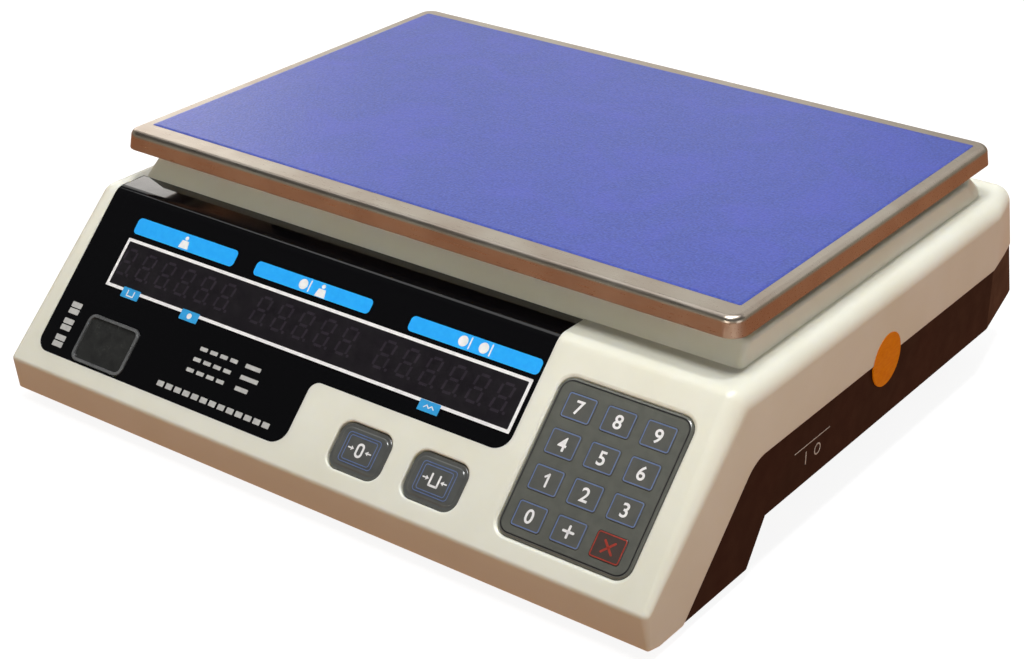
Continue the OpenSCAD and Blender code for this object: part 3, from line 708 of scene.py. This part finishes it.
def make_cover():
    """The ivory upper shell with its sunk seats. Behind the lip its floor is open."""
    overlay_cutter = cut(prism(OVERLAY, *overlay_reach, SLOPE), casing(overlay_sunk + overlay_t),
                         behind_step_front(0.2))
    cover = combine(cut(casing(0), casing(wall)), step_form(0), "UNION")
    seats = [pocket(grown(button_size, 0.4), (x, button_s), depth=4, rim=0.9)
             for x in BUTTONS.values()]
    mouth_front_y, mouth_back_y, mouth_high = front_y + lip_set_back + wall, -140, 9
    mouth = brick((-body_w / 2 + wall, mouth_front_y, 0),
                  (body_w / 2 - wall, mouth_back_y, mouth_high))
    cover = cut(cover, step_form(wall), under_seam(), mouth, overlay_cutter,
                pocket(grown(keypad_size, 0.3), keypad_at, depth=2.1, rim=1.7),
                pocket(window_size, window_at, depth=1.6, rim=0.1),
                pocket(rear_size, (0, 0), depth=1.6, rim=0.5, place=on_back_wall(rear_z)),
                *seats)
    place_piece("cover_shell", cover, "ivory_plastic", hides=["top_cover"])


def make_overlay():
    """The black film that follows the slope and bends up to the step."""
    width, height, radius = window_size
    gap = 0.1
    window_hole = rectangle(width + 2 * gap, height + 2 * gap, radius, window_at)
    film = cut(casing(overlay_sunk), casing(overlay_sunk + overlay_t))
    film = combine(film, prism(OVERLAY, *overlay_reach, SLOPE), "INTERSECT")
    film = cut(film, behind_step_front(0.4), prism(window_hole, -3, 2, SLOPE))
    place_piece("overlay_film", film, "overlay_film", hides=["display_overlay"])


# ---------- prints on the overlay ----------

ink_t = 0.03
overlay_face = -overlay_sunk
FRAME_RECT = (-148, 48.9, 90, 73.9)  # white line frame: left, low, right, high
CAPTION_TABS = ((-147.5, 76.6, -83, 84.9), (-70.4, 76.7, -1.5, 83.8), (20.7, 76, 90.8, 83.2))
TARE_TAG, ZERO_TAG, MAINS_TAG = (-131, 48.6), (-92.6, 48.4), (48.6, 47.8)
# Left end of each group of digits and the number of its digits.
DIGIT_GROUPS = {"weight": (-148.6, 6), "price": (-62.6, 5), "total": (9.8, 6)}
REAR_GROUPS = ((-114, 6), (-32.5, 5), (36.5, 6))
digit_pitch = 12.7
digit_s = 62.5                       # how far up the slope the digits' middle is
digit_h, digit_w, digit_bar = 14.2, 7.6, 1.3
digit_slant = radians(8)


def inked(*outlines, low=overlay_face, t=ink_t):
    """Outlines as a layer of ink of thickness t on the height low."""
    return join(*[prism(outline, low, low + t) for outline in outlines])


def overlay_print(name, outlines, finish, layer=0, t=ink_t):
    """A print on the overlay. Each layer lies on top of the one before."""
    place_piece(name, inked(*outlines, low=overlay_face + layer * ink_t, t=t), finish,
                place=SLOPE, slot="overlay_film")


def between(left, low, right, high, radius=0.5):
    """A rectangle from its edges."""
    return rectangle(right - left, high - low, radius, ((left + right) / 2, (low + high) / 2))


def digit_outlines(middle, scale):
    """The seven leaning bars and the point of one digit."""
    def lean(x, y):
        return middle[0] + scale * (x + y * tan(digit_slant)), middle[1] + scale * y

    def bar(x, y, width, height):
        return [lean(x + sx * width / 2, y + sy * height / 2) for sx, sy in CORNER_SIGNS]

    level_w = digit_w - 2 * digit_bar - 0.5
    upright_h = digit_h / 2 - 1.8 * digit_bar
    point_r = 0.8
    level = [bar(0, s * (digit_h - digit_bar) / 2, level_w, digit_bar) for s in (-1, 0, 1)]
    upright = [bar(sx * (digit_w - digit_bar) / 2, sy * (digit_h / 4 - 0.1 * digit_bar),
                   digit_bar, upright_h)
               for sx in (-1, 1) for sy in (-1, 1)]
    point = disc(point_r * scale, lean(digit_w / 2 + 1, -digit_h / 2 + digit_bar / 2), 16)
    return level + upright + [point]


def digit_row(start, count, middle_s, scale):
    """Outlines of a row of digits that starts at x = start."""
    return [outline for i in range(count)
            for outline in digit_outlines((start + (i + 0.5) * digit_pitch, middle_s), scale)]


def make_digits():
    """A dark tint inside the frame line and the unlit bars of every digit."""
    tint_t, bar_t = 0.01, 0.02
    overlay_print("display_window_tint", [between(*FRAME_RECT)], "window_tint_and_groove_shade_ink", t=tint_t)
    for group, (start, count) in DIGIT_GROUPS.items():
        bars = digit_row(start, count, digit_s, 0.97)
        place_piece(group + "_digit_bars", inked(*bars, t=bar_t), "unlit_ink", place=SLOPE,
                    slot="digit_block")


def weight_sign(middle, size):
    """A scale weight: a trapezium with a round knob."""
    x, s = middle
    body = [(x - size / 2, s - size / 2), (x + size / 2, s - size / 2),
            (x + size * 0.34, s + size * 0.14), (x - size * 0.34, s + size * 0.14)]
    return [body, disc(size * 0.17, (x, s + size * 0.36), 20)]


def coin_sign(middle, size):
    """A coin: a disc with an upright stroke on its right."""
    x, s = middle
    return [disc(size / 2, middle, 28), stroke((x + size * 0.75, s - size / 2),
                                               (x + size * 0.75, s + size / 2), size * 0.14)]


def tub_sign(middle, half_w, rise, drop, line):
    """An open tub, for tare: three strokes."""
    x, s = middle
    corners = ((x - half_w, s + rise), (x - half_w, s - drop), (x + half_w, s - drop),
               (x + half_w, s + rise))
    return [stroke(start, end, line) for start, end in zip(corners, corners[1:])]


def wave_sign(middle, run, rise, line):
    """A zigzag of four strokes, for mains current."""
    x, s = middle
    corners = [(x + (i - 2) * run, s + (i % 2 - 0.5) * rise) for i in range(5)]
    return [stroke(start, end, line) for start, end in zip(corners, corners[1:])]


def make_prints():
    """The frame line, the caption tabs and the lamp tags, with their signs."""
    left, low, right, high = FRAME_RECT
    line = 1.5
    frame_line = tube(between(left, low, right, high),
                      between(left + line, low + line, right - line, high - line),
                      overlay_face, overlay_face + ink_t)
    place_piece("display_frame_line", frame_line, "white_ink", place=SLOPE, slot="overlay_film")
    overlay_print("caption_tabs", [between(*tab, 2.2) for tab in CAPTION_TABS], "blue_ink")
    weight_w, coin_d = 6, 5
    signs = (weight_sign((-115, 80.4), weight_w) + coin_sign((-41, 80.2), coin_d)
             + weight_sign((-30, 79.9), weight_w) + coin_sign((50, 79.6), coin_d)
             + coin_sign((61, 79.6), coin_d))
    overlay_print("caption_signs", signs, "white_ink", layer=1)
    tag_size = (11, 5, 0.3)
    tags = [rectangle(*tag_size, middle) for middle in (TARE_TAG, ZERO_TAG, MAINS_TAG)]
    overlay_print("lamp_tags", tags, "tag_ink", layer=1)
    nought = disc(1.4, ZERO_TAG)
    tag_signs = tub_sign(TARE_TAG, half_w=2, rise=1.3, drop=1.3, line=0.6) + [nought]
    tag_signs += wave_sign(MAINS_TAG, run=1.3, rise=1.2, line=0.5)
    overlay_print("lamp_tag_signs", tag_signs, "white_ink", layer=2)


def make_print_lines():
    """Plain short dashes where the small print and the upright legend stand."""
    def dash(left, middle_s, width, height, radius=0.3):
        return rectangle(width, height, radius, (left + width / 2, middle_s))

    # Rows of four dashes and a longer one: how far up the slope, left end, the longer one's length.
    rows = ((36.5, -78, 9), (31, -79, 10.5), (25.5, -80, 7.5))
    number_left = -50
    dashes = [dash(left + 6.2 * i, s, 4.4, 1.8) for s, left, _ in rows for i in range(4)]
    dashes += [dash(number_left, s, length, 2) for s, _, length in rows]
    # One long row of thirteen dashes, and three upright blocks of two bars each.
    row_left, row_s, row_pitch = -92, 14.9, 5.4
    dashes += [dash(row_left + row_pitch * i, row_s, 4, 2.6) for i in range(13)]
    legend_left, legend_s, block_pitch, half_gap = -161.2, 33, 8.6, 1.65
    dashes += [dash(legend_left, legend_s - block_pitch * i + side * half_gap, 6.4, 2.7, 0.4)
               for i in range(3) for side in (-1, 1)]
    overlay_print("print_dashes", dashes, "grey_ink")


def make_window():
    """Clear window with a raised polished rim over a dark inner face."""
    width, height, radius = window_size
    gap, rim = 0.1, 1.5
    bottom, rim_top, pane_top = -1.5, 0.45, -0.5
    outer = rectangle(width - 2 * gap, height - 2 * gap, radius, window_at)
    inner = rectangle(*grown(window_size, -rim), window_at)
    glass = tube(outer, inner, bottom, rim_top)
    pane = prism(inner, bottom, pane_top)
    place_piece("window_rim", glass, "clear_plastic", place=SLOPE, hides=["clear_window"])
    place_piece("window_pane", pane, "window_pane", place=SLOPE, slot="clear_plastic")


# ---------- pan ----------

def make_pan():
    """Pressed steel sheet: flat top, round edge, and a skirt that opens a little downward."""
    low, high = box_mm("weighing_pan")
    middle = ((low.x + high.x) / 2, (low.y + high.y) / 2)
    corner_r, edge_r, flare, sheet = 8.5, 3.2, 0.9, 1.0
    size = (high.x - low.x, high.y - low.y, corner_r)
    edge_steps, corner_steps = 8, 12

    def ring(inset, z):
        return level_ring(rectangle(*grown(size, -inset), middle, corner_steps), z)

    outside = [ring(0, low.z)]
    inside = [ring(sheet, low.z)]
    for inward, below in quarter(edge_steps):
        outside.append(ring(flare + edge_r * inward, high.z - edge_r * below))
        inside.append(ring(flare + sheet + (edge_r - sheet) * inward,
                           high.z - sheet - (edge_r - sheet) * below))
    shell = loft(inside[::-1] + outside)
    place_piece("pan_sheet", shell, "pan_steel", body="pan", hides=["weighing_pan"], smooth=50)


def make_film():
    """Protective film whose edge thins out towards the steel."""
    low, high = box_mm("pan_film")
    middle = ((low.x + high.x) / 2, (low.y + high.y) / 2)
    profile = ((0, low.z), (0, low.z + 0.04), (0.9, high.z - 0.06), (1.6, high.z))
    rings = [level_ring(rectangle(high.x - low.x - 2 * inset, high.y - low.y - 2 * inset, 1,
                                  middle), z) for inset, z in profile]
    place_piece("film_sheet", loft(rings), "blue_film", body="pan", hides=["pan_film"])


# ---------- load cell ----------

def make_load_cell():
    """The weighing beam. Between its two round holes its mesh has extra rows of points, where it can
    bend.
    """
    low, high = box_mm("load_cell")
    middle_y, middle_z = (low.y + high.y) / 2, (low.z + high.z) / 2
    hole_x, hole_r, slot_h = 13, 8, 4
    screw_xs, screw_r, screw_depth = (42.5, 57.5), 3.05, 14
    bend_xs = range(-20, 21, 2)      # where the mesh can bend
    xs = [low.x, *bend_xs, high.x]
    form = prism([(x, low.z) for x in xs] + [(x, high.z) for x in reversed(xs)],
                 -high.y, -low.y, UPRIGHT)
    tools = [prism(disc(hole_r, (x, middle_z)), -high.y - 1, -low.y + 1, UPRIGHT)
             for x in (-hole_x, hole_x)]
    tools.append(brick((-hole_x, low.y - 1, middle_z - slot_h / 2),
                       (hole_x, high.y + 1, middle_z + slot_h / 2)))
    for x in screw_xs:
        tools.append(prism(disc(screw_r, (-x, middle_y), 24), low.z - 1, low.z + screw_depth))
        tools.append(prism(disc(screw_r, (x, middle_y), 24), high.z - screw_depth, high.z + 1))
    beam = place_piece("load_cell_beam", cut(form, *tools), "machined_aluminium", body=None,
                       hides=["load_cell"])
    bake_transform(beam)


# ---------- keypad and buttons ----------

KEY_ROWS = (("7", "8", "9"), ("4", "5", "6"), ("1", "2", "3"), ("0", "add", "clear"))
key_size = (14.2, 11.4, 1.4)
key_pitch = (19.2, 16.2)
key_face = -0.15                     # the faces lie a little under the slope
panel_face = -0.4
numeral_h = 6.2


def key_middle(column, row):
    """Middle of a key. The rows hang half a millimetre below the panel's middle."""
    return (keypad_at[0] + (column - 1) * key_pitch[0],
            keypad_at[1] + (1.5 - row) * key_pitch[1] - 0.5)


def square_line(size, middle, line, low):
    """A printed square outline whose outer edge has the given size."""
    return tube(rectangle(*size, middle), rectangle(*grown(size, -line), middle), low,
                low + ink_t)


def numeral(character, middle, height, low):
    """A printed numeral, from Blender's own font."""
    curve = bpy.data.curves.new("numeral", "FONT")
    curve.body = character
    curve.offset = 0.016             # makes the strokes bolder
    curve.extrude = ink_t / 2 / height
    obj = add_object("numeral", curve)
    shape = obj.evaluated_get(bpy.context.evaluated_depsgraph_get())
    bm = bmesh.new()
    bm.from_mesh(shape.to_mesh())
    bpy.data.objects.remove(obj)
    bpy.data.curves.remove(curve)
    xs = [v.co.x for v in bm.verts]
    ys = [v.co.y for v in bm.verts]
    scale = height / (max(ys) - min(ys))
    centre = Vector(((min(xs) + max(xs)) / 2, (min(ys) + max(ys)) / 2, 0))
    bm.transform(Matrix.Translation((*middle, low + ink_t / 2)) @ Matrix.Scale(scale, 4)
                 @ Matrix.Translation(-centre))
    return bm


def make_keypad():
    """Panel with a soft raised edge, a dark line painted as rim-groove shade and a well for every
    key.
    """
    panel_low, well_floor, edge, rim_inset = -2.0, -1.75, 1.4, 1.3
    panel = pad(keypad_size, panel_low, panel_face, edge, middle=keypad_at)
    well_w, well_h, well_r = key_size[0] + 0.3, key_size[1] + 0.3, 1.5
    wells = [prism(rectangle(well_w, well_h, well_r, key_middle(column, row)), well_floor, 1)
             for row in range(4) for column in range(3)]
    place_piece("keypad_sheet", cut(panel, *wells), "keypad_grey", place=SLOPE,
                hides=["keypad_panel"])
    # Painted shade: a dark printed line just inside the raised edge stands in for the shade of a rim
    # groove.
    rim = square_line(grown(keypad_size, -rim_inset), keypad_at, 0.5, panel_face)
    place_piece("keypad_groove_shade_line", rim, "window_tint_and_groove_shade_ink", place=SLOPE, slot="keypad_grey")


def key_mark(name, middle):
    """What is printed on a key: a numeral, a plus for add or a cross for clear.

    The one is drawn with two strokes, because the font's one has a foot.
    """
    x, s = middle
    reach, plus_line, thin_line = 2.4, 1.1, 1.0
    if name == "add":
        strokes = [stroke((x - reach, s), (x + reach, s), plus_line),
                   stroke((x, s - reach), (x, s + reach), plus_line)]
    elif name == "clear":
        strokes = [stroke((x - reach, s - reach), (x + reach, s + reach), thin_line),
                   stroke((x - reach, s + reach), (x + reach, s - reach), thin_line)]
    elif name == "1":
        half = numeral_h / 2 - thin_line / 2
        strokes = [stroke((x + 0.6, s - half), (x + 0.6, s + half), thin_line),
                   stroke((x + 0.6, s + half), (x - 0.9, s + half - 1.3), 0.9)]
    else:
        return numeral(name, middle, numeral_h, key_face)
    return inked(*strokes, low=key_face)


def make_keys():
    """Every key with its cap, its thin outline and its mark."""
    cap_low, cap_edge, outline_inset, outline_w = -1.2, 0.2, 0.25, 0.5
    for row, names in enumerate(KEY_ROWS):
        for column, name in enumerate(names):
            middle = key_middle(column, row)
            node = "key_" + name
            finish, line_ink, mark_ink = "key_grey", "outline_ink", "white_ink"
            if name == "clear":
                finish, line_ink, mark_ink = "key_red", "red_ink", "red_ink"
            cap = pad(key_size, cap_low, key_face, cap_edge, middle=middle)
            place_piece(node + "_cap", cap, finish, body=node, place=SLOPE, hides=[node])
            line = square_line(grown(key_size, -outline_inset), middle, outline_w, key_face)
            place_piece(node + "_outline", line, line_ink, body=node, place=SLOPE, slot=finish)
            place_piece(node + "_mark", key_mark(name, middle), mark_ink, body=node,
                        place=SLOPE, slot=finish)


def arrow(tip, direction, size):
    """A small triangular arrow head with a tail. A direction of 1 points it towards +X."""
    x, s = tip
    head = [(x, s), (x - direction * size, s + size * 0.7), (x - direction * size, s - size * 0.7)]
    return [head, stroke((x - direction * size, s), (x - direction * 2 * size, s), size * 0.42)]


def make_buttons():
    """Domed square buttons with two thin outlines and a plain sign: a nought, or a tub."""
    width, height, radius = button_size
    crown, face, rim, dome_edge, cap_edge, cap_drop = 0.4, panel_face, 1.3, 1.6, 0.9, 0.7
    for name, x in BUTTONS.items():
        middle = (x, button_s)
        on_cap = dict(body=name, place=SLOPE, slot="button_grey")
        flange = prism(rectangle(width + 3.2, height + 3.2, radius, middle), -3.6, -2.9)
        stem = prism(disc(3, middle), -5.2, -3.4)
        cap = pad(button_size, -3.4, face - cap_drop, cap_edge, middle=middle)
        dome = pad(grown(button_size, -rim), -2, face, dome_edge, crown, middle)
        place_piece(name + "_cap", join(cap, dome, flange, stem), "button_grey", body=name,
                    place=SLOPE, hides=[name])
        for i, share in enumerate((0.64, 0.53)):
            line = square_line((width * share, height * share, 1.8 - 0.5 * i), middle, 0.42,
                               face - 0.12 + 0.07 * i)
            place_piece(f"{name}_outline_{i + 1}", line, "outline_ink", **on_cap)
        if name == "zero_button":
            sign = tube(rectangle(4.0, 6.6, 1.9, middle), rectangle(1.9, 4.5, 0.9, middle),
                        face, face + ink_t)
        else:
            sign = inked(*tub_sign(middle, half_w=2.1, rise=2.4, drop=2.6, line=0.95), low=face)
        place_piece(name + "_sign", sign, "white_ink", **on_cap)
        tip_x, arrow_l = 3.1, 1.5
        arrows = inked(*arrow((x - tip_x, button_s), 1, arrow_l),
                       *arrow((x + tip_x, button_s), -1, arrow_l), low=face)
        place_piece(name + "_arrows", arrows, "white_ink", **on_cap)


# ---------- marks on the side and back ----------

def make_switch_marks():
    """A thin line with an on and an off sign on the tray's right wall, above the switch."""
    low, high = box_mm("switch_housing")
    wall_x = box_mm("base_tray")[1].x
    y = (low.y + high.y) / 2
    place = Matrix.Translation((wall_x, y, 0)) @ ALONG_X
    sign_y, sign_low, sign_high, line_y, line_z = 5, 34.5, 40, 15, 43.4
    on_sign = stroke((-sign_y, sign_low), (-sign_y, sign_high), 0.8)
    line = stroke((-line_y, line_z), (line_y, line_z), 0.5)
    place_piece("switch_line", inked(on_sign, line, low=0), "grey_ink", place=place,
                slot="dark_plastic")
    ring_middle = (sign_y, 37.2)
    off_sign = tube(disc(2.8, ring_middle), disc(2.1, ring_middle), 0, ink_t)
    place_piece("switch_off_sign", off_sign, "grey_ink", place=place, slot="dark_plastic")


def make_rear_digits():
    """Unlit digits behind the smoked window on the customer's side."""
    bars = [outline for start, count in REAR_GROUPS
            for outline in digit_row(start, count, 0, 0.87)]
    place_piece("rear_digit_bars", inked(*bars, low=-0.1, t=0.02), "rear_unlit_ink",
                place=on_back_wall(rear_z), slot="digit_block")


def finish_cad_nodes():
    """Gives each CAD node that still shows the material of its record slot."""
    slots = {part["node"]: part["material_slot"] for part in frame["record"]["subparts"]}
    for name, obj in frame["nodes"].items():
        if obj.hide_render:
            continue
        if not obj.material_slots:
            obj.data.materials.append(None)
        for slot in obj.material_slots:
            slot.link = "OBJECT"
            slot.material = MATERIALS[slots[name]]


# ---------- stage ----------

def make_camera():
    """The camera at the reference view: azimuth, elevation, roll and distance from a target."""
    azimuth, elevation, roll = (radians(a) for a in (36.58, 26.92, 0.11))
    target = Vector((0.0387, -0.0718, 0.062))
    distance = 0.9214
    back = Vector((sin(azimuth) * cos(elevation),
                   -cos(azimuth) * cos(elevation), sin(elevation)))
    data = bpy.data.cameras.new("camera")
    data.sensor_width = 36
    data.lens = 72.13
    data.clip_start, data.clip_end = 0.01, 50
    camera = add_object("camera", data)
    camera.location = target + back * distance
    turn = (-back).to_track_quat("-Z", "Y").to_matrix() @ Matrix.Rotation(roll, 3, "Z")
    camera.rotation_euler = turn.to_euler()
    bpy.context.scene.camera = camera


def area_light(name, place, aim, size, power, colour=(1, 1, 1)):
    """A rectangular light, placed and aimed in metres, with its power in watts."""
    data = bpy.data.lights.new(name, "AREA")
    data.shape = "RECTANGLE"
    data.size, data.size_y = size
    data.energy = power
    data.color = colour
    light = add_object(name, data)
    light.location = place
    light.rotation_euler = (Vector(aim) - Vector(place)).to_track_quat("-Z", "Y").to_euler()
    return light


def make_lights():
    """Three lights overhead, one from the right, three panels behind and two weak ones in front.

    The panels behind (glance, left_glance and rim) are seen in the steel and in the film. Of
    the weak lights, a narrow beam reaches the step under the pan, and a card on the table lights
    the right corner from below. The overlay's slope mirrors none of them, so it stays black.
    """
    area_light("key", (0.1, -0.36, 1.75), (0, -0.05, 0.08), (0.5, 0.5), 17.5)
    area_light("spot", (0.35, 0.22, 1.75), (0, -0.05, 0.08), (0.18, 0.18), 11)
    area_light("right", (1.85, -0.4, 0.5), (0.15, 0, 0.08), (0.8, 0.6), 3.5)
    area_light("glance", (-1.35, 1.3, 0.85), (0, 0, 0.11), (1.75, 1.1), 4.3, (1, 0.98, 0.94))
    area_light("left_glance", (-1.8, 1.05, 0.6), (0, 0, 0.11), (0.9, 0.7), 3.2, (1, 0.94, 0.9))
    area_light("rim", (0.3, 1.3, 1.1), (0, 0, 0.11), (1.8, 0.7), 3.2, (1, 0.98, 0.95))
    area_light("top_left", (-0.85, 0.55, 1.7), (0, 0, 0.11), (1.2, 1.0), 4)
    under_pan = area_light("under_pan", (0.15, -1.0, 0.3), (0.05, -0.09, 0.1), (0.9, 0.12),
                           0.07, (1, 0.95, 0.85))
    under_pan.data.spread = radians(10)
    under_pan.visible_camera = False
    card = area_light("card", (0.44, -0.36, 0.004), (0.44, -0.36, 1), (0.3, 0.3), 0.35,
                      (1, 0.93, 0.85))
    card.visible_camera = False


# Surroundings as (height, colour), from straight down (0) over the horizon (0.5) to straight up
# (1). The dark stops near the top are what the overlay's slope mirrors towards the camera.
WORLD_TONES = (
    (0.0, (0.62, 0.33, 0.17)),
    (0.28, (0.45, 0.19, 0.10)),
    (0.47, (0.50, 0.22, 0.11)),
    (0.51, (0.34, 0.32, 0.26)),
    (0.66, (0.36, 0.36, 0.32)),
    (0.72, (0.34, 0.34, 0.31)),
    (0.78, (0.05, 0.05, 0.05)),
    (0.92, (0.05, 0.05, 0.05)),
    (1.0, (0.16, 0.16, 0.16)),
)


def make_world():
    """White to the camera. Round the object a brown table top below and a pale room above."""
    world = bpy.data.worlds.new("studio")
    bpy.context.scene.world = world
    world.use_nodes = True
    world.node_tree.nodes.clear()
    nodes = Nodes(world.node_tree)
    direction = nodes.node("ShaderNodeTexCoord").outputs["Generated"]
    height = nodes.node("ShaderNodeSeparateXYZ")
    nodes.link(direction, height, 0)
    spread = nodes.node("ShaderNodeMapRange")
    spread.inputs["From Min"].default_value = -1
    nodes.link(height.outputs["Z"], spread, "Value")
    room = nodes.node("ShaderNodeBackground")
    nodes.link(nodes.ramp(spread.outputs["Result"], *WORLD_TONES), room, "Color")
    white = nodes.node("ShaderNodeBackground")
    white.inputs["Color"].default_value = (1, 1, 1, 1)
    choose = nodes.node("ShaderNodeMixShader")
    nodes.link(nodes.node("ShaderNodeLightPath").outputs["Is Camera Ray"], choose, 0)
    nodes.link(room.outputs[0], choose, 1)
    nodes.link(white.outputs[0], choose, 2)
    nodes.link(choose.outputs[0], nodes.node("ShaderNodeOutputWorld"), "Surface")


def make_floor():
    """Plain pale floor. It only shows and takes shadows; the light below comes from the world."""
    bm = bmesh.new()
    bmesh.ops.create_grid(bm, x_segments=1, y_segments=1, size=6)
    floor = mesh_object("floor", bm)
    shader = Shader("floor", Roughness=0.9, Emission_Color=(1, 1, 1, 1), Emission_Strength=0.9)
    shader.colour(shader.ramp(shader.noise(400, detail=1), (0.3, 0.19), (0.7, 0.21)))
    floor.data.materials.append(shader.material)
    floor.visible_diffuse = False
    floor.visible_glossy = False
    floor.visible_transmission = False


make_cover()
make_overlay()
make_digits()
make_prints()
make_print_lines()
make_window()
make_pan()
make_film()
make_load_cell()
make_keypad()
make_keys()
make_buttons()
make_switch_marks()
make_rear_digits()
finish_cad_nodes()
make_camera()
make_lights()
make_world()
make_floor()
bpy.context.scene.view_settings.view_transform = "Standard"
